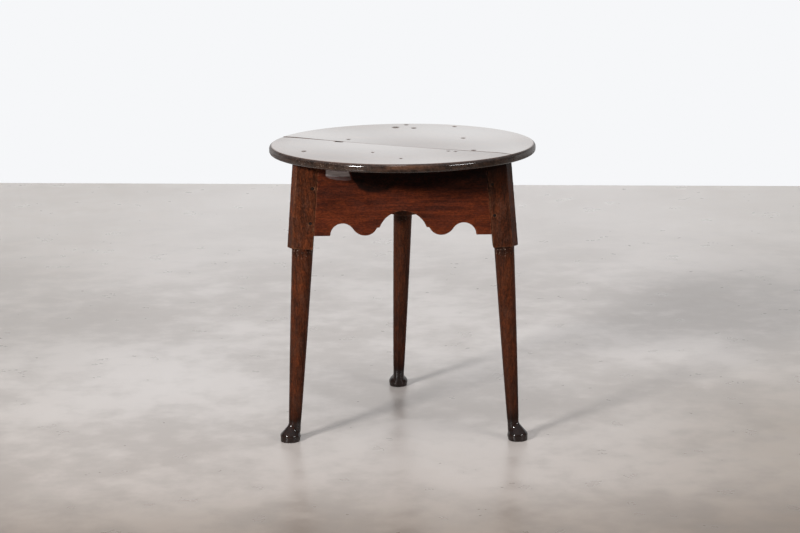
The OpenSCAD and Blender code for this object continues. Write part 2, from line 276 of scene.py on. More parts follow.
def soft_lamp(name, turn, rise, distance, width, height, watts):
    """A rectangular lamp that looks at the table. Turn is from the front, rise is above the floor."""
    data = bpy.data.lights.new(name, "AREA")
    data.shape = "RECTANGLE"
    data.size = width
    data.size_y = height
    data.energy = watts
    lamp = into_scene(name, data)
    away = Vector((sin(turn) * cos(rise), -cos(turn) * cos(rise), sin(rise)))
    lamp.location = lamp_aim + away * distance
    lamp.rotation_euler = away.to_track_quat("Z", "Y").to_euler()
    lamp.visible_camera = False
    return lamp


soft_lamp("left_lamp", radians(-41), radians(24), distance=7.0, width=1.1, height=0.9, watts=470)
soft_lamp("right_lamp", radians(52), radians(23), distance=7.0, width=2.6, height=0.7, watts=175)
soft_lamp("high_lamp", radians(-12), radians(72), distance=4.5, width=0.8, height=0.8, watts=30)


def sky():
    """A pale sky, dim at the horizon and brighter overhead."""
    world = bpy.data.worlds.new("sky")
    world.use_nodes = True
    bpy.context.scene.world = world
    tree = world.node_tree
    way = add(tree, "ShaderNodeTexCoord").outputs["Generated"]
    height = add(tree, "ShaderNodeSeparateXYZ", {0: way}).outputs["Z"]
    horizon, overhead = (0.12, 0.12, 0.12, 1), (0.6, 0.6, 0.62, 1)
    room = blend(tree, ramp(tree, height, 0.2, 1.0), horizon, overhead)
    seen = add(tree, "ShaderNodeLightPath").outputs["Is Camera Ray"]
    colour = blend(tree, seen, room, seen_white)
    tree.links.new(colour, tree.nodes["Background"].inputs["Color"])
    return world


sky()

# %% [markdown]
# ## Old wood
# Every piece has the same wood figure: broad streaks that run with the grain, fine fibres, and the
# short dark pores of oak. A shader group makes them once. It reads the wood's own
# coordinates, whose first axis runs with the grain, so one recipe fits boards, friezes and legs.

# %% Shader group: wood figure
number = "NodeSocketFloat"
vector = "NodeSocketVector"
pores_per_metre = 620


def group(name, inputs, outputs):
    """An empty shader group with named sockets, and its two end nodes."""
    tree = bpy.data.node_groups.new(name, "ShaderNodeTree")
    for label, kind, value in inputs:
        socket = tree.interface.new_socket(label, in_out="INPUT", socket_type=kind)
        if value is not None:
            socket.default_value = value
    for label, kind in outputs:
        tree.interface.new_socket(label, in_out="OUTPUT", socket_type=kind)
    return tree, add(tree, "NodeGroupInput").outputs, add(tree, "NodeGroupOutput").inputs


def wood_figure():
    """Streaks, fine lines and pores that run with the grain."""
    tree, given, result = group(
        "wood_figure",
        [("Place", vector, None), ("Streaks per metre", number, 30.0),
         ("Lines per metre", number, 200.0), ("Pores", number, 0.5)],
        [("Streak", number), ("Line", number), ("Pore", number)],
    )
    broad = cloud(tree, stretched(tree, given["Place"], 8), given["Streaks per metre"], 4, 0.62)
    tree.links.new(ramp(tree, broad, 0.34, 0.66), result["Streak"])
    fine = cloud(tree, stretched(tree, given["Place"], 18), given["Lines per metre"], 4, 0.6)
    tree.links.new(ramp(tree, fine, 0.36, 0.64), result["Line"])
    pore = cloud(tree, stretched(tree, given["Place"], 11), pores_per_metre, 2, 0.5)
    edge = maths(tree, "SUBTRACT", 0.74, times(tree, given["Pores"], 0.2))
    dark = maths(tree, "SUBTRACT", pore, edge)
    tree.links.new(maths(tree, "MULTIPLY", dark, 14.0, clamp=True), result["Pore"])
    return tree


figure = wood_figure()
sockets = [(item.in_out, item.name) for item in figure.interface.items_tree]
print("group", figure.name, "puts out", [name for way, name in sockets if way == "OUTPUT"])

# %% [markdown]
# Two centuries of hands, dusters and wax leave their own marks: pale polished arrises, darker dirt
# in the corners, and cloudy patches where the colour has gone grey or orange. A second group turns
# what the mesh knows about its arrises and hollows into soft, broken-up masks.


# %% Shader group: patina
def patina():
    """Broken-up masks for worn arrises, dirt in hollows, the soot and painted shade passed in, and grey or
    warm clouds.
    """
    tree, given, result = group(
        "patina",
        [("Place", vector, None), ("Arris", number, 0.0), ("Hollow", number, 0.0),
         ("Soot and painted shade", number, 0.0), ("Patches per metre", number, 40.0)],
        [("Worn", number), ("Dirt and painted shade", number), ("Grey", number), ("Warm", number), ("Flecks", number)],
    )
    place = stretched(tree, given["Place"], 1.8)
    broken = cloud(tree, place, 120, 4, 0.7)
    worn = times(tree, given["Arris"], ramp(tree, broken, 0.42, 0.66, 0.05, 1.0))
    tree.links.new(maths(tree, "MINIMUM", worn, 1.0), result["Worn"])
    shade = times(tree, given["Hollow"], ramp(tree, broken, 0.65, 0.35, 0.5, 1.0))
    # Soot here also carries painted shade: the top's shadow on the friezes and the shade under each leg's
    # head.
    soot = times(tree, given["Soot and painted shade"], ramp(tree, broken, 0.7, 0.3, 0.75, 1.0))
    tree.links.new(maths(tree, "MAXIMUM", shade, soot, clamp=True), result["Dirt and painted shade"])
    patches = cloud(tree, place, given["Patches per metre"], 5, 0.7)
    tree.links.new(ramp(tree, patches, 0.5, 0.6), result["Grey"])
    tree.links.new(ramp(tree, patches, 0.48, 0.39), result["Warm"])
    specks = cloud(tree, given["Place"], 330, 3, 0.6)
    tree.links.new(ramp(tree, specks, 0.6, 0.7), result["Flecks"])
    return tree


marks = patina()
print("group", marks.name, "ready")

# %% [markdown]
# A finish is the same chain for every wood. The figure lies between a dark and a light tone, with
# warm and grey clouds over it. Then come thin coats, each laid where its mask says: flecks, pores,
# pale arrises, stain with painted shade, dirt with painted shade, bare wood, chalky wood and nicks.
# Each is one Mix node, so a loop lays them all, and only the numbers differ from wood to wood.


# %% Colour of an old wood
def wood_colour(tree, place, lines, age, colours, clouds, speckle):
    """Clouds and speckle say how strong those are, from 0 to 1."""
    dark, light, warm, grey, worn = (paint(*colour) for colour in colours)
    tone = maths(tree, "ADD", times(tree, lines["Streak"], 0.55), times(tree, lines["Line"], 0.45))
    colour = blend(tree, tone, dark, light)
    colour = blend(tree, times(tree, age["Warm"], clouds), colour, warm)
    colour = blend(tree, times(tree, age["Grey"], clouds), colour, grey)
    sand = cloud(tree, stretched(tree, place, 2.2), 330, 3, 0.7)
    grain = ramp(tree, sand, 0.33, 0.67, 1 - speckle, 1 + speckle)
    sanded = {0: colour, "Scale": grain}
    colour = add(tree, "ShaderNodeVectorMath", sanded, operation="SCALE").outputs[0]
    bare = times(tree, wear(tree, "pale"), ramp(tree, grain, 1 - speckle, 1 + speckle, 0.5, 1.0))
    chalky = times(tree, wear(tree, "chalk"), ramp(tree, lines["Streak"], 0, 1, 0.8, 1.0))
    nicked = times(tree, wear(tree, "battered"), age["Flecks"])
    coats = (
        (times(tree, age["Flecks"], 0.6), paint(22, 10, 8)),
        (times(tree, lines["Pore"], 0.5), paint(16, 9, 7)),
        (times(tree, age["Worn"], 0.7), worn),
        # The shade coat darkens the legs by their stain and by painted shade, and marks the small dark knock
        # in the worn patch.
        (wear(tree, "shade"), paint(20, 11, 8)),
        # The near-black coat lies on dirt and soot, and on painted shade under the top and under the leg
        # heads.
        (times(tree, age["Dirt and painted shade"], 0.95), paint(7, 4, 3)),
        (bare, worn),
        (chalky, paint(206, 200, 202)),
        (nicked, paint(196, 176, 160)),
    )
    for share, over in coats:
        colour = blend(tree, share, colour, over)
    return colour


print("colour recipe ready")

# %% [markdown]
# Gloss has two layers. The bare wood has a roughness of its own, and wax lies over it as the
# Principled shader's coat. Where the wax is rubbed off, the coat's weight falls, and where the
# wood is bruised it is rough as well. The grain is felt through a small bump, except where dirt
# has filled it or painted shade lies.

# %% Gloss and feel of an old wood
bump_depth = 0.0006


def wood_gloss(tree, shader, lines, age, rough, shine, wax):
    """Rough and shine are the bare surface's. Wax is the coat's weight, roughness and IOR."""
    coat_weight, coat_roughness, coat_ior = wax
    bruised = wear(tree, "dull")
    uneven = times(tree, maths(tree, "ADD", lines["Line"], age["Grey"]), 0.25 * rough)
    uneven = maths(tree, "ADD", uneven, times(tree, bruised, 0.93))
    tree.links.new(maths(tree, "ADD", uneven, rough, clamp=True), shader.inputs["Roughness"])
    loss = maths(tree, "MAXIMUM", wear(tree, "unwaxed"), bruised, clamp=True)
    kept = maths(tree, "SUBTRACT", 1.0, times(tree, loss, 0.97))
    weight = maths(tree, "ADD", times(tree, kept, coat_weight), wear(tree, "gloss"), clamp=True)
    tree.links.new(weight, shader.inputs["Coat Weight"])
    shader.inputs["Coat Roughness"].default_value = coat_roughness
    shader.inputs["Coat IOR"].default_value = coat_ior
    shader.inputs["Specular IOR Level"].default_value = shine


def wood_feel(tree, shader, lines, age, bump):
    """Raised lines, and sunk pores and flecks, all but filled where there is dirt or painted shade."""
    height = maths(tree, "SUBTRACT", times(tree, lines["Line"], 0.35), lines["Pore"])
    height = maths(tree, "SUBTRACT", height, times(tree, age["Flecks"], 0.4))
    unfilled = maths(tree, "SUBTRACT", 1.0, times(tree, age["Dirt and painted shade"], 0.9))
    height = times(tree, height, unfilled)
    felt = add(tree, "ShaderNodeBump", {"Height": height, "Strength": bump, "Distance": bump_depth})
    tree.links.new(felt.outputs[0], shader.inputs["Normal"])


print("gloss recipe ready, bump", 1000 * bump_depth, "mm deep")

# %% [markdown]
# Four finishes come from the one recipe: reddish friezes with little wax left, browner and blotchy
# legs, a top polished like a mirror, and the nearly black end grain of the pegs. The five colours
# of each are its dark and light tone, its warm and grey clouds, and its worn arrises.


# %% The four finishes
def wood(name, colours, scales, patches, clouds, speckle, rough, shine, wax, bump):
    """A waxed old wood: its figure and its age, then its colour, gloss and feel."""
    material, tree, shader = new_material(name)
    place = add(tree, "ShaderNodeAttribute", attribute_name="grain_place").outputs["Vector"]
    lines = add(tree, "ShaderNodeGroup", {"Place": place, **scales}, node_tree=figure).outputs
    years = {"Place": place, "Patches per metre": patches, "Arris": wear(tree, "arris"),
             "Hollow": wear(tree, "hollow"), "Soot and painted shade": wear(tree, "soot")}
    age = add(tree, "ShaderNodeGroup", years, node_tree=marks).outputs
    colour = wood_colour(tree, place, lines, age, colours, clouds, speckle)
    tree.links.new(colour, shader.inputs["Base Color"])
    wood_gloss(tree, shader, lines, age, rough, shine, wax)
    wood_feel(tree, shader, lines, age, bump)
    return material


frieze_wood = wood(
    "frieze_wood", [(50, 18, 8), (90, 38, 18), (101, 45, 18), (62, 31, 22), (120, 72, 47)],
    {"Streaks per metre": 75.0, "Lines per metre": 300.0, "Pores": 0.5},
    patches=38, clouds=0.25, speckle=0.3, rough=0.42, shine=0.08, wax=(0.06, 0.2, 1.5), bump=0.8)
leg_wood = wood(
    "leg_wood", [(44, 22, 13), (92, 47, 26), (104, 50, 26), (82, 52, 40), (132, 88, 62)],
    {"Streaks per metre": 44.0, "Lines per metre": 230.0, "Pores": 0.55},
    patches=50, clouds=0.42, speckle=0.38, rough=0.4, shine=0.05, wax=(0.05, 0.07, 1.5), bump=0.9)
# The top's tones are partly the wood's own colour and partly lightened as a painted stand-in for the wall's
# reflection.
top_wood = wood(
    "top_wood", [(80, 57, 47), (110, 81, 66), (117, 86, 67), (106, 90, 82), (140, 97, 72)],
    {"Streaks per metre": 22.0, "Lines per metre": 150.0, "Pores": 0.3},
    patches=38, clouds=0.4, speckle=0.12, rough=0.07, shine=0.28, wax=(1.0, 0.03, 2.0), bump=0.015)
peg_wood = wood(
    "peg_wood", [(13, 8, 6), (30, 18, 13), (34, 20, 14), (30, 21, 17), (48, 34, 27)],
    {"Streaks per metre": 300.0, "Lines per metre": 900.0, "Pores": 0.7},
    patches=120, clouds=0.5, speckle=0.2, rough=0.5, shine=0.1, wax=(0.1, 0.3, 1.5), bump=0.5)
print("finishes", [m.name for m in (frieze_wood, leg_wood, top_wood, peg_wood)])

# %% [markdown]
# ## From CAD solid to worn wood
# A CAD solid has knife edges. The real arrises have been rubbed round, and nothing cut by hand is
# quite flat. Bevels would have to be picked edge by edge, so each solid is copied, merged, wrapped
# in an even skin by a voxel remesh and eased with a few strokes of smoothing.

# %% Fine skins
same_point = 1e-6


def baked(piece):
    """The piece with its modifiers worked into a plain mesh."""
    bpy.context.view_layer.update()
    worked = piece.evaluated_get(bpy.context.evaluated_depsgraph_get())
    mesh = bpy.data.meshes.new_from_object(worked)
    piece.modifiers.clear()
    old = piece.data
    piece.data = mesh
    bpy.data.meshes.remove(old)
    mesh.name = piece.name
    return piece


def merged_copy(node):
    """A copy of a CAD node's mesh, with its loose triangles joined up."""
    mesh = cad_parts[node].data.copy()
    mesh.materials.clear()
    work = bmesh.new()
    work.from_mesh(mesh)
    bmesh.ops.remove_doubles(work, verts=work.verts, dist=same_point)
    work.to_mesh(mesh)
    work.free()
    return mesh


def skin(node, name, voxel, strokes):
    """A finely meshed copy of a CAD node with softened arrises."""
    piece = into_scene(name, merged_copy(node))
    wrap = piece.modifiers.new("wrap", "REMESH")
    wrap.mode = "VOXEL"
    wrap.voxel_size = voxel
    ease = piece.modifiers.new("ease", "SMOOTH")
    ease.factor = 0.5
    ease.iterations = strokes
    baked(piece)
    piece.data.shade_smooth()
    return piece


def points_of(mesh):
    """Every vertex of a mesh as rows of x, y and z."""
    rows = np.empty(len(mesh.vertices) * 3, np.float32)
    mesh.vertices.foreach_get("co", rows)
    return rows.reshape(-1, 3)


def move_points(piece, rows):
    """Puts every vertex of a piece where its row says."""
    piece.data.vertices.foreach_set("co", rows.astype(np.float32).ravel())
    piece.data.update()


def normals_of(mesh):
    """Every vertex normal of a mesh as rows."""
    rows = np.empty(len(mesh.vertices) * 3, np.float32)
    mesh.vertex_normals.foreach_get("vector", rows)
    return rows.reshape(-1, 3)


def carry(piece, name, values, kind="FLOAT"):
    """Stores one number, or one vector, at every point of a piece."""
    layer = piece.data.attributes.new(name, kind, "POINT")
    layer.data.foreach_set("value" if kind == "FLOAT" else "vector", np.asarray(values, np.float32).ravel())


print("points closer than", 1000 * same_point, "mm are merged")

# %% [markdown]
# The mesh itself knows where it is proud or hollow: a point on an arris stands above the average of
# its neighbours, and a point in a corner lies below it. Averaged a few times, that gives the masks
# for wear and dirt, with no camera and no light involved.

# %% Arrises and hollows
proud_from, hollow_from, full_after = 0.02, 0.015, 0.06


def neighbour_mean(mesh, values):
    """The average of each point's neighbours."""
    pairs = np.empty(len(mesh.edges) * 2, np.int32)
    mesh.edges.foreach_get("vertices", pairs)
    first, second = pairs.reshape(-1, 2).T
    total = np.zeros_like(values, dtype=np.float64)
    np.add.at(total, first, values[second])
    np.add.at(total, second, values[first])
    count = np.bincount(pairs, minlength=len(values)).clip(1)
    return total / (count if values.ndim == 1 else count[:, None])


def arris_and_hollow(mesh, cell):
    """How proud and how hollow each point is, from 0 to 1."""
    points = points_of(mesh).astype(np.float64)
    lift = ((points - neighbour_mean(mesh, points)) * normals_of(mesh)).sum(1) / cell
    for _ in range(3):
        lift = 0.5 * lift + 0.5 * neighbour_mean(mesh, lift)
    arris = np.clip((lift - proud_from) / full_after, 0, 1)
    hollow = np.clip((-lift - hollow_from) / full_after, 0, 1)
    return arris, hollow


print("an arris starts", proud_from, "of a cell above its neighbours")

# %% [markdown]
# Dressing a piece takes three steps. Its points are turned so that the first axis runs with the
# grain, and shifted so that no two pieces share a figure. Its masks are stored on the mesh as named
# numbers. Then it gets its finish, which reads those numbers by name. A painted picture would need
# an unwrapped surface, and a mask needs none.

# %% Dressing a piece
mark_names = ("soot", "pale", "chalk", "dull", "unwaxed", "shade", "gloss", "battered")


def dress(piece, cell, turning, offset, material, **marks_at):
    """Gives a piece its wood coordinates, wear masks and finish. Marks are functions of points."""
    points = points_of(piece.data)
    grain = points @ np.array(turning.to_3x3(), np.float32).T + np.array(offset, np.float32)
    carry(piece, "grain_place", grain, "FLOAT_VECTOR")
    arris, hollow = arris_and_hollow(piece.data, cell)
    carry(piece, "arris", arris)
    carry(piece, "hollow", hollow)
    for name in mark_names:
        carry(piece, name, marks_at[name](points) if name in marks_at else np.zeros(len(points)))
    piece.data.materials.append(material)


def seat(piece, slot, *nodes):
    """The piece stands for its CAD nodes and rides on the one body. The slot is not used."""
    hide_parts(*nodes)
    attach(piece, "root")


def fade(values, low, high):
    """0 below low, 1 above high, smooth between them. Works downwards too."""
    share = np.clip((values - low) / (high - low), 0, 1)
    return share * share * (3 - 2 * share)


print("a piece carries", len(mark_names), "drawn marks")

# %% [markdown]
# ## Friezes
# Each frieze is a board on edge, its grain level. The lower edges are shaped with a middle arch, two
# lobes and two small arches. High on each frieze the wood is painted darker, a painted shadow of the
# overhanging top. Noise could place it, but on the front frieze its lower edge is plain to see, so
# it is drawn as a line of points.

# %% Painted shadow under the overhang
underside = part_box("front_frieze")[1].z
above_all = 0.72
behind_front, at_front = -0.15, -0.155
shade_x = (-0.127, -0.1175, -0.108, -0.104, -0.084, -0.0615, -0.04, -0.029, -0.018, 0.04, 0.13, 0.193)
shade_z = (0.680, 0.638, 0.626, 0.618, 0.607, 0.605, 0.608, 0.615, 0.621, 0.616, 0.607, 0.609)
soft_x = (-0.11, -0.08, -0.03, 0.04, 0.13)
soft_half = (0.0025, 0.006, 0.007, 0.013, 0.034)


def painted_shade_under_top(points):
    """Painted shade high on a frieze, in the lee of the top."""
    return 0.7 * fade(points[:, 2], underside - 0.07, underside - 0.04)


def on_front(points):
    """1 on the outer face of the front frieze, 0 behind it."""
    return fade(points[:, 1], behind_front, at_front)


def front_painted_shadow(points):
    """The front frieze's painted shadow of the top: its lower edge is a drawn line, softer towards the right.
    """
    edge = np.interp(points[:, 0], shade_x, shade_z, left=above_all)
    soft = np.interp(points[:, 0], soft_x, soft_half)
    return on_front(points) * fade(points[:, 2], edge - soft, edge + soft)


print("the painted shadow's edge has", len(shade_x), "points")

# %% [markdown]
# High on the front frieze, at the left, a patch is worn hollow and has gone pale. The hollow is in
# the CAD solid. Its outline is drawn once more here, so that the bare grey wood ends with it.

# %% The worn patch
patch_x = (-0.178, -0.171, -0.157, -0.146, -0.134, -0.121)
patch_z = (0.6453, 0.641, 0.6375, 0.6369, 0.6361, 0.6372)
grey_x = (-0.178, -0.171, -0.16, -0.151, -0.141, -0.124)
grey_z = (0.6484, 0.6468, 0.6458, 0.6464, 0.6452, 0.6468)
patch_left = -0.18
patch_right_z, patch_right_x = (0.6395, 0.6561), (-0.1208, -0.1266)
patch_dot = (-0.1644, 0.6402)


def patch(points):
    """Where the front frieze is worn bare, from 0 outside to 1 inside its drawn outline."""
    x, z = points[:, 0], points[:, 2]
    low = np.interp(x, patch_x, patch_z)
    right = np.interp(z, patch_right_z, patch_right_x)
    sides = fade(x, patch_left - 0.0015, patch_left + 0.0015) * fade(right - x, -0.001, 0.0015)
    return sides * fade(z - low, -0.0012, 0.0012) * on_front(points)


def chalk(points):
    """The worn patch has gone grey: faintly near its lower edge, and nearly white further up."""
    line = np.interp(points[:, 0], grey_x, grey_z)
    return patch(points) * (0.16 + 0.8 * fade(points[:, 2] - line, -0.0025, 0.0015))


def patch_mark(points):
    """A small dark knock in the worn patch."""
    away = np.hypot(points[:, 0] - patch_dot[0], points[:, 2] - patch_dot[1])
    return 0.8 * fade(away, 0.0026, 0.0012) * patch(points)


print("the patch is", round(patch_x[-1] - patch_x[0], 3), "m wide")

# %% [markdown]
# The three boards are alike, so one loop skins, dresses and seats them. Only the front one has the
# drawn edge of its painted shadow and the patch. A turn back by a third of a circle lays the others' grain
# level too.

# %% Friezes
frieze_cell = 0.0016
frieze_turns = {"front_frieze": 0, "right_frieze": 120, "left_frieze": 240}

for count, (node, degrees) in enumerate(frieze_turns.items()):
    piece = skin(node, "worn_" + node, frieze_cell, 2)
    level = Matrix.Rotation(radians(-degrees), 3, "Z")
    # The other friezes get painted shade under the top.
    shade = {"soot": painted_shade_under_top}
    if node == "front_frieze":
        # On the front frieze the painted shadow of the top darkens the wood and takes its wax off.
        shade = {"soot": front_painted_shadow, "unwaxed": front_painted_shadow, "chalk": chalk, "shade": patch_mark}
    dress(piece, frieze_cell, level, (0.7 * count, 0.13, 0.31 * count), frieze_wood, **shade)
    seat(piece, "frieze_wood", node)
    print(piece.name, len(piece.data.polygons), "faces")

# %% [markdown]
# ## Legs
# Each leg is one piece of wood: a five-sided head, a turned shaft and a pad foot that was turned on
# a second centre, so that it points outward. The skin of the CAD solid keeps the lathe's edges on
# the pad, and polish has worn them away. More smoothing for the whole leg would thin its shaft, so
# only the pad gets many more strokes, which fade out above it.

# %% Rounded pads
pad_strokes = 24


def ease_foot(piece):
    """Rounds the pad of a foot."""
    points = points_of(piece.data).astype(np.float64)
    z = points[:, 2]
    share = 0.5 * fade(z, 0.004, 0.012) * fade(z, 0.06, 0.045)
    for _ in range(pad_strokes):
        points += share[:, None] * (neighbour_mean(piece.data, points) - points)
    move_points(piece, points)


print("each pad gets", pad_strokes, "strokes")

# %% [markdown]
# The feet are nearly black and shiny from floor polish, and the ring under each head is darker,
# partly old dirt and partly painted shade under the head. The stain has worn thin on the shafts, and
# each leg has its own darkness at seven heights, partly stain and partly painted shade: the right one
# is painted darker under the top and the back one dark all along.

# %% Marks on the legs
head_length = 0.208
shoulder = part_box("left_leg")[1].z - head_length
stain_heights = (0.05, 0.2, 0.42, 0.5, 0.57, 0.62, 0.66)
# Darkness at each height: partly stain, partly painted shade, most under the top on the right leg and all
# along the back leg.
stains_and_shade = {
    "left_leg": (0.5, 0.3, 0.12, 0.08, 0.03, 0.0, 0.0),
    "right_leg": (0.7, 0.45, 0.28, 0.4, 0.25, 0.5, 0.9),
    "back_leg": (0.65, 0.5, 0.45, 0.5, 0.5, 0.5, 0.5),
}


def leg_dirt_and_shade(points):
    """Old dirt and painted shade in the ring under the head, and dark polish on the foot."""
    z = points[:, 2]
    ring = fade(z, shoulder + 0.001, shoulder - 0.002) * fade(z, shoulder - 0.02, shoulder - 0.012)
    return np.maximum(0.5 * ring, 0.9 * fade(z, 0.09, 0.04))


def neck_knocks(points, node):
    """The ring under the head is chipped pale here and there, less so on the back leg."""
    z = points[:, 2]
    ring = fade(z, shoulder + 0.002, shoulder - 0.002) * fade(z, shoulder - 0.025, shoulder - 0.014)
    return (0.15 if node == "back_leg" else 0.7) * ring


def leg_gloss(points):
    """The hard polish of the foot."""
    return 0.65 * fade(points[:, 2], 0.055, 0.04)


def leg_stain_and_shade(points, node):
    """How dark the stain and the painted shade are at each height."""
    return np.interp(points[:, 2], stain_heights, stains_and_shade[node])


print("the ring under the heads is at", round(shoulder, 3), "m")

# %% [markdown]
# The grain follows the splay, so each leg's wood coordinates are first turned about the table's
# middle and then tipped by the angle of its shaft.

# %% Legs
leg_cell = 0.0015
leg_turns = {"left_leg": 210, "right_leg": 330, "back_leg": 90}
splay = radians(5.19)

for count, (node, degrees) in enumerate(leg_turns.items()):
    piece = skin(node, "worn_" + node, leg_cell, 2)
    ease_foot(piece)
    upright = Matrix.Rotation(pi / 2 - splay, 3, "Y") @ Matrix.Rotation(radians(-degrees), 3, "Z")
    dress(piece, leg_cell, upright, (0.9 * count, 0.21 + 0.1 * count, 0.17), leg_wood, soot=leg_dirt_and_shade,
          gloss=leg_gloss, battered=lambda points: neck_knocks(points, node),
          shade=lambda points: leg_stain_and_shade(points, node))
    seat(piece, "leg_wood", node)
    print(piece.name, len(piece.data.polygons), "faces")

# %% [markdown]
# ## The top
# A disc made by spinning its rim would be perfect, and old boards are not. So the spun disc is cut
# along the joint into two boards, and both get a slight sway, a joint that has opened at its left
# end, and a few dents. Rings of small faces carry all that.

# %% Spun disc
top_low, top_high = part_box("top_front_board")[0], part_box("top_back_board")[1]
top_radius = (top_high.x - top_low.x) / 2
top_middle = Vector((0, top_low.y + top_radius, 0))
upper_face, lower_face = top_high.z, top_low.z
rim_upper, rim_lower = 0.008, 0.006
segments, ring_step = 480, 0.0036
upper_points, lower_points, rings_below = 13, 7, 14


def rim_profile():
    """Radius and height from the middle of the upper face, over the rim, to the middle below."""
    flat_radius = top_radius - rim_upper
    rings = int(flat_radius / ring_step)
    upper = [(flat_radius * k / rings, upper_face) for k in range(1, rings + 1)]
    over = [(flat_radius + rim_upper * sin(a), upper_face - rim_upper * (1 - cos(a)))
            for a in np.linspace(0, pi / 2, upper_points)[1:]]
    under = [(top_radius - rim_lower * (1 - cos(a)), lower_face + rim_lower * (1 - sin(a)))
             for a in np.linspace(0, pi / 2, lower_points)]
    lower = [(r, lower_face) for r in np.linspace(top_radius - rim_lower, 0, rings_below)[1:-1]]
    return upper + over + under + lower


def spun_disc():
    """The round top as one closed mesh of rings."""
    work = bmesh.new()
    rings = []
    for radius, height in rim_profile():
        rings.append([work.verts.new((top_middle.x + radius * cos(2 * pi * k / segments),
                                      top_middle.y + radius * sin(2 * pi * k / segments), height))
                      for k in range(segments)])
    for inner, outer in zip(rings, rings[1:]):
        for k in range(segments):
            j = (k + 1) % segments
            work.faces.new((inner[k], outer[k], outer[j], inner[j]))
    work.faces.new(rings[0])
    work.faces.new(reversed(rings[-1]))
    bmesh.ops.recalc_face_normals(work, faces=work.faces)
    return work


print("top", round(2 * top_radius, 4), "m across,", len(rim_profile()), "rings")

# %% [markdown]
# The joint is a line across the disc, slanting a little. A plane cuts the disc there and clears
# one side away. Four more cuts beside it only add points, because the arris is rounded later and
# needs something to bend.

# %% Two boards
board_turn = radians(-29)
board_offset = 0.0436
joint_cuts = (0.0, 0.0006, 0.0014, 0.0026, 0.0045)
joint_normal = Vector((-sin(board_turn), cos(board_turn), 0))
joint_along = Vector((cos(board_turn), sin(board_turn), 0))
joint_point = top_middle - joint_normal * board_offset
top_boards = {"top_front_board": -1, "top_back_board": 1}


def board(side):
    """One board of the top: side is +1 for the back one and -1 for the front one."""
    work = spun_disc()
    for gap in joint_cuts:
        everything = work.verts[:] + work.edges[:] + work.faces[:]
        bmesh.ops.bisect_plane(work, geom=everything, dist=1e-7,
                               plane_co=joint_point + joint_normal * side * gap,
                               plane_no=joint_normal * side, clear_inner=gap == 0.0)
    open_edges = [e for e in work.edges if e.is_boundary]
    bmesh.ops.contextual_create(work, geom=open_edges)
    bmesh.ops.triangulate(work, faces=[f for f in work.faces if len(f.verts) > 4])
    mesh = bpy.data.meshes.new("board")
    work.to_mesh(mesh)
    work.free()
    return mesh


print("the joint lies", board_offset, "m in front of the middle, turned", board_turn, "radians")

# %% [markdown]
# Age has moved the wood: the joint bows and has opened at its left end, its arris is rounded and
# chipped, and the faces sway and have a dozen dents. Distances are measured along the joint and
# across it, so that a few sums on the points do all of that. Sculpting by hand could not be
# repeated. The same sums say where the wood is marked, for the finish.

# %% Bow, sway, dents and chip
knocks = [
    ((-0.2330, -0.1268), 0.006), ((0.1495, 0.0512), 0.006), ((0.0300, 0.2252), 0.007),
    ((0.0110, 0.2832), 0.006), ((-0.0160, 0.2400), 0.009), ((0.1340, 0.2432), 0.006),
    ((-0.0040, -0.2448), 0.004), ((-0.0700, -0.1530), 0.004), ((0.1078, -0.1440), 0.004),
    ((0.1240, -0.1530), 0.004), ((0.1660, -0.1400), 0.006), ((-0.1300, 0.0500), 0.005),
]
chip_along, chip_half, chip_reach = -0.148, 0.010, 0.013
settled, dent_depth, chip_depth = 0.0003, 0.0005, 0.003


def joint_bow(along):
    """The joint is not quite straight: its middle lies further forward than its ends."""
    return -0.0057 + 0.159 * along ** 2 + 0.012 * along


def off_centre(points):
    """How far each point is from the top's middle line."""
    return np.hypot(points[:, 0] - top_middle.x, points[:, 1] - top_middle.y)


def shaped(points, side):
    """The moved points of a board, and how marked each one is."""
    out = points.astype(np.float64)
    middle = np.array(joint_point)
    along = (out - middle) @ np.array(joint_along)
    across = (out - middle) @ np.array(joint_normal) * side
    upper = fade(out[:, 2], lower_face + 0.008, upper_face - 0.004)
    left_end = fade(along, -0.15, -0.32)
    opening = 0.0002 + 0.0009 * left_end
    near = fade(across, 0.006, 0.0)
    inner = fade(off_centre(out), top_radius, top_radius - 0.05)
    bow = joint_bow(along) * fade(across, 0.09, 0.0) * inner
    rounding = (0.0005 + 0.0012 * left_end) * np.exp(-across / (0.0008 + 0.0014 * left_end))
    sway = 0.0002 * np.sin(along * 9 + side) * np.sin(across * 14 + 1.3)
    dents = np.zeros(len(out))
    for (x, y), size in knocks:
        away = np.hypot(out[:, 0] - x, (out[:, 1] - y) / 1.6)
        dents += np.exp(-(away / size) ** 4)
    chip = np.exp(-((along - chip_along) / chip_half) ** 4)
    chip *= fade(across, chip_reach, chip_reach - 0.004) * (side < 0)
    out += np.outer(near * opening * side + bow, np.array(joint_normal))
    out[:, 2] -= upper * (rounding + settled + sway + dent_depth * dents + chip_depth * chip)
    marked = np.clip(dents, 0, 1) * 0.38 + chip
    crack = fade(across, 0.0012 + 0.0012 * left_end, 0.0003) * fade(out[:, 2], lower_face, lower_face + 0.002)
    return out, np.clip(np.maximum(marked * upper, crack), 0, 1)


print(len(knocks), "dents and one chip")

# %% [markdown]
# The rim is where people touch a table. It has lost most of its wax and is dark with handling,
# except for a stretch at the front that is rubbed pale and a battered one to its left.

# %% Wear of the rim
def rim_band(points):
    """1 on the rim, 0 on the flat faces."""
    return fade(off_centre(points), top_radius - 0.0062, top_radius - 0.0035)


def rim_worn(points):
    """The rim is rubbed pale along part of the front."""
    place = fade(points[:, 0], -0.05, -0.015) * fade(points[:, 0], 0.1, 0.015) * (points[:, 1] < -0.2)
    low = fade(points[:, 2], upper_face - 0.014, upper_face - 0.009)
    return 0.33 * place * low * fade(points[:, 2], upper_face - 0.001, upper_face - 0.004) * rim_band(points)


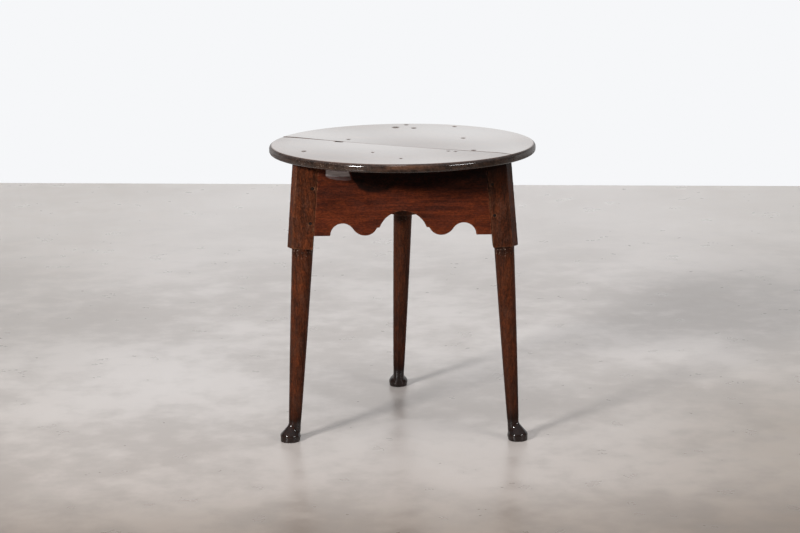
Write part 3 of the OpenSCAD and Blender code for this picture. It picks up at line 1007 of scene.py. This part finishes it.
def rim_battered(points):
    """The rim is chipped and scratched to the left of that."""
    place = fade(points[:, 0], -0.28, -0.22) * fade(points[:, 0], -0.05, -0.11) * (points[:, 1] < -0.15)
    return 0.38 * place * rim_band(points)


def rim_bare(points):
    """The side of the rim has lost most of its wax, and all of it at its left and right ends."""
    rubbed = fade(points[:, 0], -0.055, -0.035) * fade(points[:, 0], 0.045, 0.03) * (points[:, 1] < -0.2)
    ends = fade(np.abs(points[:, 0]), 0.22, 0.29)
    return fade(points[:, 2], upper_face, upper_face - 0.0008) * np.maximum(0.82 + 0.16 * rubbed, ends)


def rim_dull(points):
    """The rim is a little duller than the face, most of all at its left and right ends."""
    ends = fade(np.abs(points[:, 0]), 0.2, 0.28)
    return (0.065 + 0.26 * ends) * rim_band(points)


print("the rim is", round(upper_face - lower_face, 4), "m high")

# %% [markdown]
# Both boards go through the same steps, with a side of -1 or +1. Their grain runs along the joint,
# and wood coordinates that start in different places make them two planks and not one.

# %% Boards
along_joint = Matrix.Rotation(-board_turn, 3, "Z")

for node, side in top_boards.items():
    piece = into_scene("worn_" + node, board(side))
    moved, marked = shaped(points_of(piece.data), side)
    move_points(piece, moved)
    piece.data.shade_smooth()
    dress(piece, ring_step, along_joint, (0.4 * side, 0.2 * side, 0.9), top_wood,
          soot=lambda points: np.maximum(marked, 0.97 * rim_band(points)),
          pale=rim_worn, battered=rim_battered, unwaxed=rim_bare,
          dull=lambda points: np.maximum(np.minimum(1.7 * marked, 1), rim_dull(points)))
    seat(piece, "top_wood", node)
    print(piece.name, len(piece.data.polygons), "faces")

# %% [markdown]
# ## Pegs
# Nineteen riven pegs hold the table together. They repeat, so Geometry Nodes make them: one peg
# is set on each point of a small mesh, turned into its hole, and given a slightly different
# girth from a fixed seed. The points come from the CAD pegs: each is an island of joined points,
# and its longest direction, from a singular value decomposition, is the peg's own. The islands are
# found in the order of their points, so that each run gives a peg the same girth.


# %% Where the pegs are
def peg_places(node):
    """Middle, direction and length of each peg in a CAD node."""
    mesh = merged_copy(node)
    work = bmesh.new()
    work.from_mesh(mesh)
    bpy.data.meshes.remove(mesh)
    work.verts.index_update()
    found, taken = [], set()
    for first in work.verts:
        if first in taken:
            continue
        island, waiting = {first}, [first]
        while waiting:
            vert = waiting.pop()
            near = {edge.other_vert(vert) for edge in vert.link_edges} - island
            island |= near
            waiting.extend(near)
        taken |= island
        rows = np.array([v.co for v in sorted(island, key=lambda v: v.index)])
        middle = rows.mean(0)
        axis = np.linalg.svd(rows - middle, full_matrices=False)[2][0]
        reach = np.abs((rows - middle) @ axis).max()
        found.append((Vector(middle), Vector(axis), reach))
    work.free()
    return found


def outward(middle, axis, above):
    """The axis pointed at the end that shows: up for the top, away from the table otherwise."""
    way = Vector((0, 0, 1)) if above else Vector((middle.x, middle.y - top_middle.y, 0))
    return axis if axis.dot(way) > 0 else -axis


peg_nodes = {"left_leg_pegs": False, "right_leg_pegs": False, "back_leg_pegs": False, "top_pegs": True}
print({node: len(peg_places(node)) for node in peg_nodes})

# %% [markdown]
# The tree takes a mesh with one point per peg. Each point carries the direction of its peg. Curve
# to Mesh sweeps a ten-sided section along a short line and shrinks it towards the shown end, so
# the peg is softly domed, as a worn one is.


# %% Geometry Nodes: pegs on points
def peg_tree():
    """Sets a domed peg on every point, along the point's own direction."""
    tree = bpy.data.node_groups.new("pegs_on_points", "GeometryNodeTree")
    interface = tree.interface
    interface.new_socket("Geometry", in_out="INPUT", socket_type="NodeSocketGeometry")
    for label, value in (("Radius", 0.004), ("Length", 0.03), ("Dome", 0.3)):
        interface.new_socket(label, in_out="INPUT", socket_type=number).default_value = value
    interface.new_socket("Finish", in_out="INPUT", socket_type="NodeSocketMaterial")
    interface.new_socket("Geometry", in_out="OUTPUT", socket_type="NodeSocketGeometry")
    given = add(tree, "NodeGroupInput").outputs
    end = add(tree, "ShaderNodeCombineXYZ", {"Z": times(tree, given["Length"], -1.0)})
    line = add(tree, "GeometryNodeCurvePrimitiveLine", {"End": end.outputs[0]}).outputs[0]
    fine = add(tree, "GeometryNodeResampleCurve", {"Curve": line, "Count": 60}).outputs[0]
    share = add(tree, "GeometryNodeSplineParameter").outputs["Factor"]
    near_end = maths(tree, "SUBTRACT", 1.0, times(tree, share, 18.0), clamp=True)
    fall = times(tree, maths(tree, "POWER", near_end, 2.5), given["Dome"])
    girth = times(tree, maths(tree, "SUBTRACT", 1.0, fall), given["Radius"])
    section = {"Resolution": 10, "Radius": 1.0}
    ring = add(tree, "GeometryNodeCurvePrimitiveCircle", section).outputs[0]
    sweep = {"Curve": fine, "Profile Curve": ring, "Scale": girth, "Fill Caps": True}
    peg = add(tree, "GeometryNodeCurveToMesh", sweep).outputs[0]
    way = add(tree, "GeometryNodeInputNamedAttribute", {"Name": "way"}, data_type="FLOAT_VECTOR")
    turned = add(tree, "FunctionNodeAlignRotationToVector", {"Vector": way.outputs[0]}, axis="Z")
    limits = {2: 0.965, 3: 1.0, "Seed": 7}
    vary = add(tree, "FunctionNodeRandomValue", limits, data_type="FLOAT").outputs[1]
    girths = add(tree, "ShaderNodeCombineXYZ", {"X": vary, "Y": vary, "Z": 1.0})
    placed = add(tree, "GeometryNodeInstanceOnPoints", {
        "Points": given["Geometry"], "Instance": peg, "Rotation": turned.outputs[0],
        "Scale": girths.outputs[0]}).outputs[0]
    solid = add(tree, "GeometryNodeRealizeInstances", {"Geometry": placed}).outputs[0]
    done = add(tree, "GeometryNodeSetMaterial", {"Geometry": solid, "Material": given["Finish"]})
    tree.links.new(done.outputs[0], add(tree, "NodeGroupOutput").inputs[0])
    return tree


pegs_on_points = peg_tree()
print("tree", pegs_on_points.name)

# %% [markdown]
# The small mesh has a point a little below each hole's mouth and the direction of its hole. A peg
# is a little shorter than its hole, so that neither end stands proud. Once the tree has run, its
# result is worked into a plain mesh and dressed like any other piece.

# %% Pegs
peg_sink = 0.0006
peg_short = 0.001
peg_dome = 0.25
peg_radius = 0.0037
top_peg_radius = 0.00395
peg_cell = 0.003


def peg_set(node, above):
    """All pegs of one CAD node as one plain mesh."""
    places = peg_places(node)
    ways = [outward(middle, axis, above) for middle, axis, _ in places]
    ends = [middle + way * (reach - peg_sink) for (middle, _, reach), way in zip(places, ways)]
    mesh = bpy.data.meshes.new("worn_" + node)
    mesh.from_pydata([tuple(end) for end in ends], [], [])
    piece = into_scene("worn_" + node, mesh)
    carry(piece, "way", [tuple(way) for way in ways], "FLOAT_VECTOR")
    builder = piece.modifiers.new("pegs", "NODES")
    builder.node_group = pegs_on_points
    length = 2 * places[0][2] - peg_short
    sizes = {"Radius": top_peg_radius if above else peg_radius, "Length": length,
             "Dome": peg_dome, "Finish": peg_wood}
    for socket in pegs_on_points.interface.items_tree:
        if socket.in_out == "INPUT" and socket.name in sizes:
            builder[socket.identifier] = sizes[socket.name]
    baked(piece)
    return piece


for node, above in peg_nodes.items():
    piece = peg_set(node, above)
    dress(piece, peg_cell, Matrix.Identity(3), (0, 0, 0), peg_wood)
    seat(piece, "peg_wood", node)
    print(piece.name, len(piece.data.polygons), "faces")
